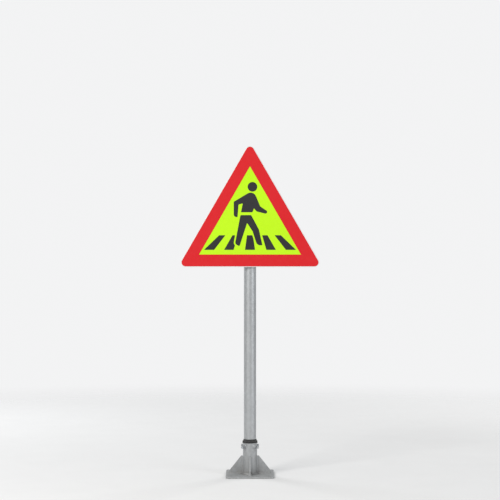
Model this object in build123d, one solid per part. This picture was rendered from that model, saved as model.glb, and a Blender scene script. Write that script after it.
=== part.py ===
from build123d import *
import math
import os

# Post-mounted triangular warning sign: pedestrian crossing, clamp-fixed to a round tube post in a bolt-down socket.
#
# Frame: origin on the ground at the post's axis (centre of the base plate's underside), +Z up, the sign faces -Y.
# All sizes in millimetres. Each solid group is written to parts/NODE.step.

os.makedirs("parts", exist_ok=True)

# ----------------------------------------------------------------------------- driving dimensions
# post
POST_OD = 76.1
POST_WALL = 3.2
POST_TOP = 1930.0
POST_R = POST_OD / 2

# bolt-down socket
BASE_SIZE = 300.0
BASE_T = 12.0
BASE_CORNER_R = 18.0
ANCHOR_PITCH = 230.0
ANCHOR_HOLE_R = 9.0
DRAIN_R = 15.0
SLEEVE_OD = 88.9
SLEEVE_WALL = 5.0
SLEEVE_H = 200.0
SLEEVE_TOP = BASE_T + SLEEVE_H
SPIGOT_OD = 69.3
SPIGOT_WALL = 5.0
SPIGOT_H = 45.0
GUSSET_T = 8.0
GUSSET_FOOT_R = 134.0
GUSSET_TOE = 12.0
GUSSET_TOP = 122.0
GUSSET_SNIPE = 11.0
WELD_LEG = 5.0

# lock screws of the socket (M12)
LOCK_Z = 180.0
LOCK_ANGLES = (45.0, 135.0, 225.0, 315.0)
LOCK_R = 6.0
LOCK_BOSS_AF = 19.0
LOCK_BOSS_END = 54.0
LOCK_NUT_T = 6.0
LOCK_NUT_AF = 18.0
LOCK_SCREW_L = 25.0
LOCK_HEAD_T = 7.5
LOCK_TIP_GAP = 0.1

# sign panel: pressed aluminium tray, an equilateral triangle with rounded corners
PANEL_SIDE = 900.0
PANEL_CORNER_R = 29.0
PANEL_T = 2.5
PANEL_DEPTH = 18.0
PANEL_EDGE_R = 3.0
SIGN_Z0 = 1300.0  # lower edge above ground

# face sheeting
FACE_INSET = 4.0
FIELD_T = 0.4
OVERLAY_T = 0.25
BORDER_ON_900 = 74.5

# stiffening rails on the back of the panel
RAIL_D = 14.0
RAIL_WEB_T = 3.0
RAIL_WEB_HALF = 24.0
RAIL_CAVITY_HALF = 8.8
RAIL_WALL_T = 3.0
RAIL_LIP_T = 3.0
RAIL_SLOT_HALF = 5.4
LOWER_RAIL_Z = 150.0  # above the panel's lower edge
UPPER_RAIL_Z = 500.0
LOWER_RAIL_HALF = 310.0
UPPER_RAIL_HALF = 130.0
RIVET_R = 1.95
RIVET_HOLE_R = 2.0
RIVET_HEAD_R = 4.0
RIVET_HEAD_T = 1.3
RIVET_Z = 17.5
LOWER_RIVET_X = (-290.0, -195.0, -98.0, 0.0, 98.0, 195.0, 290.0)
UPPER_RIVET_X = (-112.0, -38.0, 38.0, 112.0)

# post clamps (one per rail, M10 bolts whose heads run in the rail)
SEAT_GAP = 0.08  # radial, post to clamp
SADDLE_WEB = 5.85
SADDLE_FLANGE_T = 6.0
SADDLE_HALF_X = 74.0
SADDLE_HALF_Z = 20.0
CRADLE_HALF_X = 36.0
CRADLE_END_Y = -24.0
STRAP_T = 4.0
STRAP_HALF_Z = 16.0
STRAP_BEND_R = 6.0
CLAMP_BOLT_X = 58.0
CLAMP_BOLT_R = 5.0
CLAMP_BOLT_L = 30.0
CLAMP_HEAD_AF = 17.0
CLAMP_HEAD_T = 6.4
CLAMP_HOLE_R = 5.5
WASHER_R = 10.0
WASHER_HOLE_R = 5.25
WASHER_T = 2.0
NUT_AF = 16.0
NUT_T = 8.4
SLIDE_GAP = 0.05

# post cap
CAP_OUTER_R = 40.4
CAP_SKIRT = 25.0
CAP_DOME = 12.0

# ----------------------------------------------------------------------------- derived levels along Y
SEAT_R = POST_R + SEAT_GAP
SADDLE_FRONT_Y = -(SEAT_R + SADDLE_WEB)
FLANGE_BACK_Y = SADDLE_FRONT_Y + SADDLE_FLANGE_T
RAIL_BACK_Y = SADDLE_FRONT_Y - SLIDE_GAP
PLATE_BACK_Y = RAIL_BACK_Y - RAIL_D
PLATE_FRONT_Y = PLATE_BACK_Y - PANEL_T
FIELD_FRONT_Y = PLATE_FRONT_Y - FIELD_T
EAR_BACK_Y = FLANGE_BACK_Y + STRAP_T
FACE_SIDE = PANEL_SIDE - 2 * math.sqrt(3) * FACE_INSET
FACE_K = FACE_SIDE / 900.0  # the symbol is drawn on a 900 mm face
FACE_CORNER_R = PANEL_CORNER_R - FACE_INSET
FACE_Z0 = SIGN_Z0 + FACE_INSET
CLAMP_ZS = {"lower": SIGN_Z0 + LOWER_RAIL_Z, "upper": SIGN_Z0 + UPPER_RAIL_Z}


# ----------------------------------------------------------------------------- helpers
def rounded_face(points, radii):
    """A flat face in XY from corner points, each corner rounded to its radius by a tangent arc."""
    n = len(points)
    if not isinstance(radii, (list, tuple)):
        radii = [radii] * n
    corners = []
    for i in range(n):
        a, b, c = (Vector(*points[k % n], 0) for k in (i - 1, i, i + 1))
        if radii[i] <= 0:
            corners.append((b, None, b))
            continue
        u, v = (a - b).normalized(), (c - b).normalized()
        half = math.acos(max(-1.0, min(1.0, u.dot(v)))) / 2
        reach = radii[i] / math.tan(half)
        inward = (u + v).normalized()
        mid = b + inward * (radii[i] / math.sin(half) - radii[i])
        corners.append((b + u * reach, mid, b + v * reach))
    edges = []
    for i in range(n):
        start, mid, end = corners[i]
        if mid is not None:
            edges.append(Edge.make_three_point_arc(start, mid, end))
        following = corners[(i + 1) % n][0]
        if (following - end).length > 1e-6:
            edges.append(Edge.make_line(end, following))
    return Face(Wire(edges))


def upright(face, y):
    """Stands a face drawn in XY up in the XZ plane at this Y; drawn y becomes Z."""
    return face.moved(Location(Plane(origin=(0, y, 0), x_dir=(1, 0, 0), z_dir=(0, -1, 0))))


def forward(face, y, depth):
    """A plate from y towards -Y by depth."""
    return extrude(upright(face, y), amount=depth, dir=(0, -1, 0))


def triangle(side, corner_r, z0):
    """An upright equilateral triangle, apex up, theoretical side, lower edge at z0."""
    height = side * math.sqrt(3) / 2
    return rounded_face([(-side / 2, z0), (side / 2, z0), (0, z0 + height)], corner_r)


def ring(outer, inner, z0, z1):
    tube = Pos(0, 0, (z0 + z1) / 2) * Cylinder(outer, z1 - z0)
    return tube - Pos(0, 0, (z0 + z1) / 2) * Cylinder(inner, z1 - z0 + 2)


def prism_along_y(across_flats, x, z, y0, y1, chamfered=0.0):
    """A hexagonal prism along Y with its flats facing up and down."""
    hexagon = RegularPolygon(across_flats / 2, 6, major_radius=False, rotation=0)
    plane = Plane(origin=(x, y0, z), x_dir=(1, 0, 0), z_dir=(0, 1, 0))
    body = extrude(plane * hexagon, amount=y1 - y0)
    if chamfered:
        # a hexagon's corners are turned off by a 30 degree cone at the marked ends
        corner = across_flats / math.sqrt(3)
        drop = (corner - across_flats / 2 * 0.97) * math.tan(math.radians(30))
        profile = Polyline(
            (0, 0), (across_flats / 2 * 0.97, 0), (corner, drop), (corner, y1 - y0), (0, y1 - y0), close=True
        )
        cone = revolve(make_face(profile), axis=Axis.Y)
        if chamfered < 0:
            cone = cone.mirror(Plane.XZ).moved(Pos(0, y1 - y0, 0))
        body = body & cone.moved(Pos(x, y0, z))
    return body


def cylinder_along_y(r, x, z, y0, y1):
    return Pos(x, (y0 + y1) / 2, z) * Rot(90, 0, 0) * Cylinder(r, y1 - y0)


def write(name, solids):
    flat = []
    for s in solids if isinstance(solids, (list, tuple)) else [solids]:
        flat += list(s.solids())
    shape = flat[0] if len(flat) == 1 else Compound(children=flat)
    shape.label = name
    export_step(shape, os.path.join("parts", name + ".step"))
    return flat


# ----------------------------------------------------------------------------- bolt-down socket
plate = extrude(RectangleRounded(BASE_SIZE, BASE_SIZE, BASE_CORNER_R), amount=BASE_T)
for sx in (-1, 1):
    for sy in (-1, 1):
        plate -= Pos(sx * ANCHOR_PITCH / 2, sy * ANCHOR_PITCH / 2, BASE_T / 2) * Cylinder(ANCHOR_HOLE_R, BASE_T + 2)
plate -= Pos(0, 0, BASE_T / 2) * Cylinder(DRAIN_R, BASE_T + 2)
plate = chamfer(plate.faces().sort_by(Axis.Z)[-1].outer_wire().edges(), 1.5)
write("base_plate", plate)

sleeve_r = SLEEVE_OD / 2
sleeve = ring(sleeve_r, sleeve_r - SLEEVE_WALL, BASE_T, SLEEVE_TOP)
for angle in LOCK_ANGLES:
    sleeve -= Rot(0, 0, angle) * (Pos(sleeve_r - SLEEVE_WALL / 2, 0, LOCK_Z) * Rot(0, 90, 0) * Cylinder(LOCK_R + 0.3, 14))
write("socket_sleeve", sleeve)

spigot = ring(SPIGOT_OD / 2, SPIGOT_OD / 2 - SPIGOT_WALL, BASE_T, BASE_T + SPIGOT_H)
lead_in = [e for e in spigot.edges().filter_by(GeomType.CIRCLE) if e.center().Z > BASE_T + 1 and e.radius > SPIGOT_OD / 2 - 1]
write("socket_spigot", chamfer(lead_in, 2.5))

gusset_outline = rounded_face(
    [
        (sleeve_r - 3, GUSSET_TOP),
        (sleeve_r - 3, BASE_T + GUSSET_SNIPE),
        (sleeve_r, BASE_T + GUSSET_SNIPE),
        (sleeve_r + GUSSET_SNIPE, BASE_T),
        (GUSSET_FOOT_R, BASE_T),
        (GUSSET_FOOT_R, BASE_T + GUSSET_TOE),
        (sleeve_r + 11.0, GUSSET_TOP),
    ],
    [0, 0, 0, 0, 0, 3.0, 3.0],
)
gusset = extrude(upright(gusset_outline, GUSSET_T / 2), amount=GUSSET_T, dir=(0, -1, 0))
gusset -= Pos(0, 0, SLEEVE_TOP / 2) * Cylinder(sleeve_r, SLEEVE_TOP + 10)
outer_edges = [
    e for e in gusset.edges()
    if abs(abs(e.center().Y) - GUSSET_T / 2) < 0.01 and e.center().X > sleeve_r + 2 and e.center().Z > BASE_T + 3
    and not (e.center().X < sleeve_r + GUSSET_SNIPE + 0.5 and e.center().Z < BASE_T + GUSSET_SNIPE)
]
gusset = chamfer(outer_edges, 0.8)
gussets = [Rot(0, 0, a) * gusset for a in (0, 90, 180, 270)]
write("base_gussets", gussets)

# fillet welds: round the sleeve's foot, along each gusset's foot and up each gusset's inner edge
bead = WELD_LEG
foot_ring = revolve(
    make_face(Polyline((sleeve_r, 0, BASE_T), (sleeve_r + bead, 0, BASE_T), (sleeve_r, 0, BASE_T + bead), close=True)),
    axis=Axis.Z,
)
welds = [foot_ring]
for a in (0, 90, 180, 270):
    for side in (-1, 1):
        y0 = side * GUSSET_T / 2
        section = make_face(
            Polyline((0, y0, BASE_T), (0, y0 + side * bead, BASE_T), (0, y0, BASE_T + bead), close=True)
        )
        run = extrude(section, amount=GUSSET_FOOT_R - sleeve_r - GUSSET_SNIPE - 3, dir=(1, 0, 0))
        welds.append(Rot(0, 0, a) * run.moved(Pos(sleeve_r + GUSSET_SNIPE + 1, 0, 0)))
        base_x = sleeve_r * math.cos(math.asin(GUSSET_T / 2 / sleeve_r))
        riser = make_face(
            Polyline(
                (base_x - 3, y0, 0), (base_x + bead, y0, 0), (base_x - 0.3, y0 + side * bead, 0),
                (base_x - 3, y0 + side * bead, 0), close=True,
            )
        )
        riser = extrude(riser, amount=GUSSET_TOP - BASE_T - GUSSET_SNIPE - 3, dir=(0, 0, 1))
        riser = riser.moved(Pos(0, 0, BASE_T + GUSSET_SNIPE + 1)) - Pos(0, 0, SLEEVE_TOP / 2) * Cylinder(
            sleeve_r, SLEEVE_TOP + 10
        )
        welds.append(Rot(0, 0, a) * riser)
write("base_welds", welds)

bosses, screws, nuts = [], [], []
screw_head_r = POST_R + LOCK_TIP_GAP + LOCK_SCREW_L
for angle in LOCK_ANGLES:
    turn = Rot(0, 0, angle - 90)
    boss = prism_along_y(LOCK_BOSS_AF, 0, LOCK_Z, sleeve_r - 3, LOCK_BOSS_END, chamfered=-1)
    boss -= Pos(0, 0, LOCK_Z) * Cylinder(sleeve_r, 60)
    boss -= cylinder_along_y(LOCK_R + 0.05, 0, LOCK_Z, 30, 70)
    bosses.append(turn * boss)
    nut = prism_along_y(LOCK_NUT_AF, 0, LOCK_Z, LOCK_BOSS_END, LOCK_BOSS_END + LOCK_NUT_T, chamfered=-1)
    nut -= cylinder_along_y(LOCK_R + 0.05, 0, LOCK_Z, 30, 70)
    nuts.append(turn * nut)
    screw = chamfer(
        cylinder_along_y(LOCK_R, 0, LOCK_Z, screw_head_r - LOCK_SCREW_L, screw_head_r + 0.5).edges().sort_by(Axis.Y)[0], 1.0
    )
    screw += prism_along_y(LOCK_NUT_AF, 0, LOCK_Z, screw_head_r, screw_head_r + LOCK_HEAD_T, chamfered=-1)
    screws.append(turn * screw)
write("socket_bosses", bosses)
write("lock_nuts", nuts)
write("lock_screws", screws)

seal_outline = rounded_face(
    [
        (POST_R + 0.15, SLEEVE_TOP), (sleeve_r + 0.05, SLEEVE_TOP), (sleeve_r + 0.05, SLEEVE_TOP - 9),
        (sleeve_r + 3.6, SLEEVE_TOP - 9), (sleeve_r + 3.6, SLEEVE_TOP - 6), (sleeve_r + 2.3, SLEEVE_TOP - 4.6),
        (sleeve_r + 2.3, SLEEVE_TOP + 2), (POST_R + 3.6, SLEEVE_TOP + 6.5), (POST_R + 2.0, SLEEVE_TOP + 14),
        (POST_R + 0.15, SLEEVE_TOP + 14),
    ],
    [0, 0, 0, 1.0, 1.0, 0.8, 1.6, 1.2, 0.8, 0],
)
seal = revolve(upright(seal_outline, 0), axis=Axis.Z)
write("socket_seal", seal)

# ----------------------------------------------------------------------------- post and cap
write("post_tube", ring(POST_R, POST_R - POST_WALL, BASE_T, POST_TOP))

cap_inner_r = POST_R - POST_WALL
cap_profile = Polyline(
    (0, 0, POST_TOP), (cap_inner_r - 3.2, 0, POST_TOP), (cap_inner_r - 3.2, 0, POST_TOP - 18),
    (cap_inner_r - 0.3, 0, POST_TOP - 18), (cap_inner_r - 0.3, 0, POST_TOP), (POST_R + 0.05, 0, POST_TOP),
    (POST_R + 0.05, 0, POST_TOP - CAP_SKIRT), (CAP_OUTER_R, 0, POST_TOP - CAP_SKIRT), (CAP_OUTER_R, 0, POST_TOP + 4.5),
    (0, 0, POST_TOP + 4.5), close=True,
)
cap = revolve(make_face(cap_profile), axis=Axis.Z)
# the dome is a shallow slice of a sphere, blended into the skirt
dome_rise = CAP_DOME - 4.5
dome_sphere_r = (CAP_OUTER_R**2 + dome_rise**2) / (2 * dome_rise)
dome = Pos(0, 0, POST_TOP + CAP_DOME - dome_sphere_r) * Sphere(dome_sphere_r)
dome = dome & (Pos(0, 0, POST_TOP + 4.5 + 10) * Cylinder(CAP_OUTER_R, 20))
cap = cap + dome
shoulder = [e for e in cap.edges().filter_by(GeomType.CIRCLE) if abs(e.center().Z - (POST_TOP + 4.5)) < 0.01]
cap = fillet(shoulder, 3.0)
skirt_lip = [
    e for e in cap.edges().filter_by(GeomType.CIRCLE)
    if abs(e.center().Z - (POST_TOP - CAP_SKIRT)) < 0.01 and e.radius > CAP_OUTER_R - 0.01
]
cap = fillet(skirt_lip, 0.8)
write("post_cap", cap)

# ----------------------------------------------------------------------------- sign panel
panel = forward(triangle(PANEL_SIDE, PANEL_CORNER_R, SIGN_Z0), PLATE_FRONT_Y + PANEL_DEPTH, PANEL_DEPTH)
front_edges = panel.faces().sort_by(Axis.Y)[0].outer_wire().edges()
panel = fillet(front_edges, PANEL_EDGE_R)
hollow_side = PANEL_SIDE - 2 * math.sqrt(3) * PANEL_T
hollow = forward(
    triangle(hollow_side, PANEL_CORNER_R - PANEL_T, SIGN_Z0 + PANEL_T),
    PLATE_FRONT_Y + PANEL_DEPTH + 1,
    PANEL_DEPTH + 1 - PANEL_T,
)
panel -= hollow
for x in (-240.0, 240.0):  # drain holes in the lower flange
    panel -= Pos(x, PLATE_BACK_Y + 7, SIGN_Z0) * Cylinder(3.0, 12)
rivet_places = [(x, CLAMP_ZS["lower"] + s * RIVET_Z) for x in LOWER_RIVET_X for s in (-1, 1)]
rivet_places += [(x, CLAMP_ZS["upper"] + s * RIVET_Z) for x in UPPER_RIVET_X for s in (-1, 1)]
for x, z in rivet_places:
    panel -= cylinder_along_y(RIVET_HOLE_R, x, z, PLATE_FRONT_Y - 1, PLATE_BACK_Y + 1)
write("sign_panel", panel)

# ----------------------------------------------------------------------------- rails and rivets
rail_section = [
    (0, -RAIL_WEB_HALF), (RAIL_WEB_T, -RAIL_WEB_HALF), (RAIL_WEB_T, -(RAIL_CAVITY_HALF + RAIL_WALL_T)),
    (RAIL_D, -(RAIL_CAVITY_HALF + RAIL_WALL_T)), (RAIL_D, -RAIL_SLOT_HALF), (RAIL_D - RAIL_LIP_T, -RAIL_SLOT_HALF),
    (RAIL_D - RAIL_LIP_T, -RAIL_CAVITY_HALF), (RAIL_WEB_T, -RAIL_CAVITY_HALF),
    (RAIL_WEB_T, RAIL_CAVITY_HALF), (RAIL_D - RAIL_LIP_T, RAIL_CAVITY_HALF), (RAIL_D - RAIL_LIP_T, RAIL_SLOT_HALF),
    (RAIL_D, RAIL_SLOT_HALF), (RAIL_D, RAIL_CAVITY_HALF + RAIL_WALL_T), (RAIL_WEB_T, RAIL_CAVITY_HALF + RAIL_WALL_T),
    (RAIL_WEB_T, RAIL_WEB_HALF), (0, RAIL_WEB_HALF),
]
rail_radii = [0, 1.0, 1.0, 1.2, 0.6, 0.4, 0.25, 0.25, 0.25, 0.25, 0.4, 0.6, 1.2, 1.0, 1.0, 0]


def rail(z, half, xs):
    outline = rounded_face(rail_section, rail_radii)
    plane = Plane(origin=(-half, PLATE_BACK_Y, z), x_dir=(0, 1, 0), z_dir=(1, 0, 0))
    body = extrude(outline.moved(Location(plane)), amount=2 * half, dir=(1, 0, 0))
    for x in xs:
        for s in (-1, 1):
            body -= cylinder_along_y(RIVET_HOLE_R, x, z + s * RIVET_Z, PLATE_BACK_Y - 1, PLATE_BACK_Y + RAIL_WEB_T + 1)
    return body


write("lower_rail", rail(CLAMP_ZS["lower"], LOWER_RAIL_HALF, LOWER_RIVET_X))
write("upper_rail", rail(CLAMP_ZS["upper"], UPPER_RAIL_HALF, UPPER_RIVET_X))

head_y = PLATE_BACK_Y + RAIL_WEB_T
dome_r = (RIVET_HEAD_R**2 + RIVET_HEAD_T**2) / (2 * RIVET_HEAD_T)
rivets = []
for x, z in rivet_places:
    shank = cylinder_along_y(RIVET_R, x, z, PLATE_FRONT_Y, head_y + 0.1)
    dome = Pos(x, head_y + RIVET_HEAD_T - dome_r, z) * Sphere(dome_r)
    head = dome & cylinder_along_y(RIVET_HEAD_R + 1, x, z, head_y, head_y + 5)
    rivets.append(shank + head)
write("rail_rivets", rivets)

# ----------------------------------------------------------------------------- face sheeting
face_outline = triangle(FACE_SIDE, FACE_CORNER_R, FACE_Z0)
write("field_film", forward(face_outline, PLATE_FRONT_Y, FIELD_T))

border_w = BORDER_ON_900 * FACE_K
inner_side = FACE_SIDE - 2 * math.sqrt(3) * border_w
border = forward(face_outline, FIELD_FRONT_Y, OVERLAY_T) - forward(
    triangle(inner_side, 0, FACE_Z0 + border_w), FIELD_FRONT_Y + 1, OVERLAY_T + 2
)
write("border_film", border)


def on_face(points):
    return [(x * FACE_K, FACE_Z0 + z * FACE_K) for x, z in points]


def symbol(points, radii):
    scaled = [r * FACE_K for r in radii]
    return rounded_face(on_face(points), scaled)


TORSO = [
    (21.0, 480.8), (-102.4, 407.0), (-102.4, 310.8), (-78.5, 310.8), (-72.4, 389.5), (-45.5, 396.8), (-56.9, 340.8),
    (15.2, 340.8), (24.9, 366.1), (42.2, 345.4), (107.7, 329.8), (107.7, 348.7), (65.1, 377.0),
]
TORSO_R = [36.4, 5.0, 17.0, 5.0, 5.0, 2.5, 3.5, 3.0, 2.0, 14.0, 10.0, 10.0, 4.0]
LEGS = [
    (-60.2, 323.0), (-94.4, 142.6), (-66.5, 125.2), (-18.3, 273.8), (16.5, 220.5), (44.2, 133.0), (78.1, 133.0),
    (56.3, 231.7), (7.5, 323.0),
]
LEGS_R = [7.0, 17.0, 7.5, 2.5, 4.0, 28.0, 4.0, 8.0, 6.0]
HEAD_CENTRE = (15.4, 501.3)
HEAD_R = 30.2
STRIPE_TOP, STRIPE_FOOT = 195.9, 104.0
STRIPES = [  # top left, top right, foot right, foot left
    (-194.7, -155.0, -226.2, -289.9),
    (-110.3, -76.2, -103.3, -163.2),
    (-18.9, 18.9, 31.5, -31.5),
    (76.2, 110.3, 163.2, 103.3),
    (155.0, 194.7, 289.9, 226.2),
]
LEG_CLEARANCE = 9.5

legs_face = symbol(LEGS, LEGS_R)
torso = forward(symbol(TORSO, TORSO_R), FIELD_FRONT_Y, OVERLAY_T)
legs = forward(legs_face, FIELD_FRONT_Y, OVERLAY_T)
head = cylinder_along_y(
    HEAD_R * FACE_K, HEAD_CENTRE[0] * FACE_K, FACE_Z0 + HEAD_CENTRE[1] * FACE_K, FIELD_FRONT_Y - OVERLAY_T, FIELD_FRONT_Y
)
write("figure_film", [head, torso, legs])

clear_of_legs = offset(legs_face, LEG_CLEARANCE * FACE_K, kind=Kind.ARC)
clear_solid = forward(Face(clear_of_legs.faces()[0].outer_wire()), FIELD_FRONT_Y + 1, OVERLAY_T + 2)
stripes = []
for tl, tr, fr, fl in STRIPES:
    outline = symbol([(tl, STRIPE_TOP), (tr, STRIPE_TOP), (fr, STRIPE_FOOT), (fl, STRIPE_FOOT)], [1.5] * 4)
    stripes.append(forward(outline, FIELD_FRONT_Y, OVERLAY_T) - clear_solid)
write("crossing_film", stripes)

# ----------------------------------------------------------------------------- clamps
straps, washers, clamp_nuts, clamp_bolts = {}, [], [], []
bolt_head_back = PLATE_BACK_Y + RAIL_D - RAIL_LIP_T - SLIDE_GAP
strap_mid_r = SEAT_R + STRAP_T / 2
for where, z in CLAMP_ZS.items():
    saddle = Pos(0, (SADDLE_FRONT_Y + FLANGE_BACK_Y) / 2, z) * Box(2 * SADDLE_HALF_X, SADDLE_FLANGE_T, 2 * SADDLE_HALF_Z)
    saddle = fillet(saddle.edges().filter_by(Axis.Y), 7.0)
    cradle = Pos(0, (SADDLE_FRONT_Y + CRADLE_END_Y) / 2, z) * Box(
        2 * CRADLE_HALF_X, CRADLE_END_Y - SADDLE_FRONT_Y, 2 * SADDLE_HALF_Z
    )
    cradle = fillet([e for e in cradle.edges().filter_by(Axis.Y)], 3.0)
    saddle = (saddle + cradle) - Pos(0, 0, z) * Cylinder(SEAT_R, 200)
    saddle = chamfer(
        [e for e in saddle.edges().filter_by(GeomType.LINE) if abs(e.center().Y - CRADLE_END_Y) < 0.01 and e.length > 30], 1.0
    )
    ear_rim = [
        e for e in saddle.edges() if abs(e.center().Y - FLANGE_BACK_Y) < 0.01 and abs(e.center().X) > CRADLE_HALF_X + 4
    ]
    saddle = chamfer(ear_rim, 0.7)
    for s in (-1, 1):
        saddle -= cylinder_along_y(CLAMP_HOLE_R, s * CLAMP_BOLT_X, z, SADDLE_FRONT_Y - 1, FLANGE_BACK_Y + 1)
    write(f"{where}_saddle", saddle)

    ear_y = FLANGE_BACK_Y + STRAP_T / 2
    half = STRAP_T / 2

    def band(d):
        """The strap's centre path moved outwards by d: ear, bend, straight, half turn, and back."""
        r_ring, r_bend = strap_mid_r + d, STRAP_BEND_R - d
        ey = ear_y + d
        q = r_bend * (1 - math.sqrt(0.5))
        return [
            Edge.make_line((SADDLE_HALF_X, ey), (r_ring + r_bend, ey)),
            Edge.make_three_point_arc((r_ring + r_bend, ey), (r_ring + q, ey + q), (r_ring, ey + r_bend)),
            Edge.make_line((r_ring, ey + r_bend), (r_ring, 0)),
            Edge.make_three_point_arc((r_ring, 0), (0, r_ring), (-r_ring, 0)),
            Edge.make_line((-r_ring, 0), (-r_ring, ey + r_bend)),
            Edge.make_three_point_arc((-r_ring, ey + r_bend), (-r_ring - q, ey + q), (-r_ring - r_bend, ey)),
            Edge.make_line((-r_ring - r_bend, ey), (-SADDLE_HALF_X, ey)),
        ]

    outline = Wire(
        band(-half)
        + band(half)
        + [
            Edge.make_line((SADDLE_HALF_X, ear_y - half), (SADDLE_HALF_X, ear_y + half)),
            Edge.make_line((-SADDLE_HALF_X, ear_y - half), (-SADDLE_HALF_X, ear_y + half)),
        ]
    )
    strap = extrude(Face(outline).moved(Pos(0, 0, z - STRAP_HALF_Z)), amount=2 * STRAP_HALF_Z, dir=(0, 0, 1))
    tip_edges = [e for e in strap.edges().filter_by(Axis.Y) if abs(abs(e.center().X) - SADDLE_HALF_X) < 0.01]
    strap = fillet(tip_edges, 5.0)
    rims = [e for face in (strap.faces().sort_by(Axis.Z)[0], strap.faces().sort_by(Axis.Z)[-1]) for e in face.outer_wire().edges()]
    strap = chamfer([e for e in rims if e.length > 8], 0.5)
    for s in (-1, 1):
        strap -= cylinder_along_y(CLAMP_HOLE_R, s * CLAMP_BOLT_X, z, FLANGE_BACK_Y - 1, EAR_BACK_Y + 1)
    write(f"{where}_strap", strap)

    for s in (-1, 1):
        x = s * CLAMP_BOLT_X
        shank = cylinder_along_y(CLAMP_BOLT_R, x, z, bolt_head_back - 0.5, bolt_head_back + CLAMP_BOLT_L)
        shank = chamfer(shank.edges().filter_by(GeomType.CIRCLE).sort_by(Axis.Y)[-1], 1.0)
        bolt = shank + prism_along_y(
            CLAMP_HEAD_AF, x, z, bolt_head_back - CLAMP_HEAD_T, bolt_head_back, chamfered=1
        )
        clamp_bolts.append(bolt)
        washer = cylinder_along_y(WASHER_R, x, z, EAR_BACK_Y, EAR_BACK_Y + WASHER_T)
        washer = chamfer(washer.edges().filter_by(GeomType.CIRCLE).sort_by(Axis.Y)[-1], 0.4)
        washer -= cylinder_along_y(WASHER_HOLE_R, x, z, EAR_BACK_Y - 1, EAR_BACK_Y + WASHER_T + 1)
        washers.append(washer)
        nut = prism_along_y(NUT_AF, x, z, EAR_BACK_Y + WASHER_T, EAR_BACK_Y + WASHER_T + NUT_T, chamfered=-1)
        nut -= cylinder_along_y(CLAMP_BOLT_R + 0.05, x, z, EAR_BACK_Y, EAR_BACK_Y + 20)
        clamp_nuts.append(nut)

write("clamp_bolts", clamp_bolts)
write("clamp_washers", washers)
write("clamp_nuts", clamp_nuts)

print("sign lower edge", SIGN_Z0, "apex", round(SIGN_Z0 + PANEL_SIDE * math.sqrt(3) / 2 - PANEL_CORNER_R, 1))
print("plate front y", round(PLATE_FRONT_Y, 3), "face side", round(FACE_SIDE, 2), "border", round(border_w, 2))
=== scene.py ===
import math

import bmesh
import bpy
from mathutils import Matrix, Vector, noise


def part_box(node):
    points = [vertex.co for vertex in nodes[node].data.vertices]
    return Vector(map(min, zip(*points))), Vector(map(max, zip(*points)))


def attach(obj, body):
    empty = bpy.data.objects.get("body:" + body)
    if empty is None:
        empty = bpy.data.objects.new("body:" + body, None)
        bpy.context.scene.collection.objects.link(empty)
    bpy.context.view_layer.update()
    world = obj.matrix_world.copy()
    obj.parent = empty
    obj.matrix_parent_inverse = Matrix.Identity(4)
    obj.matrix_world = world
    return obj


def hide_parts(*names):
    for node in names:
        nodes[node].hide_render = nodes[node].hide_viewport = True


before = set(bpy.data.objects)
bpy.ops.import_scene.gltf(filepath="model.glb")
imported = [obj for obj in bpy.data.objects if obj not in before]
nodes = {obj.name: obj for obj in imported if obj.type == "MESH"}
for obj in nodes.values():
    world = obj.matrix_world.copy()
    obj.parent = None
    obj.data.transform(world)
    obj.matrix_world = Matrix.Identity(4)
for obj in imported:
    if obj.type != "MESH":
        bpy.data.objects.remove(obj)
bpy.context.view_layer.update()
scene = bpy.context.scene
scene.view_settings.view_transform = "Standard"
scene.view_settings.look = "None"

# ----------------------------------------------------------------------------- camera
# Level and square to the sign's face, which fills the frame's middle as a sign seen head-on does.
field_lo, field_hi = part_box("field_film")
MM_PER_PX = 6.2046e-3
face_y = field_lo.y
cam_data = bpy.data.cameras.new("camera")
cam_data.sensor_width = 36.0
cam_data.lens = 36.0 * 9.0 / (500 * MM_PER_PX)
camera = bpy.data.objects.new("camera", cam_data)
scene.collection.objects.link(camera)
camera.location = (0.0, face_y - 9.0, field_lo.z + (266.35 - 250.0) * MM_PER_PX)
camera.rotation_euler = (math.radians(90), 0, 0)
cam_data.clip_end = 200
scene.camera = camera


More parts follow.
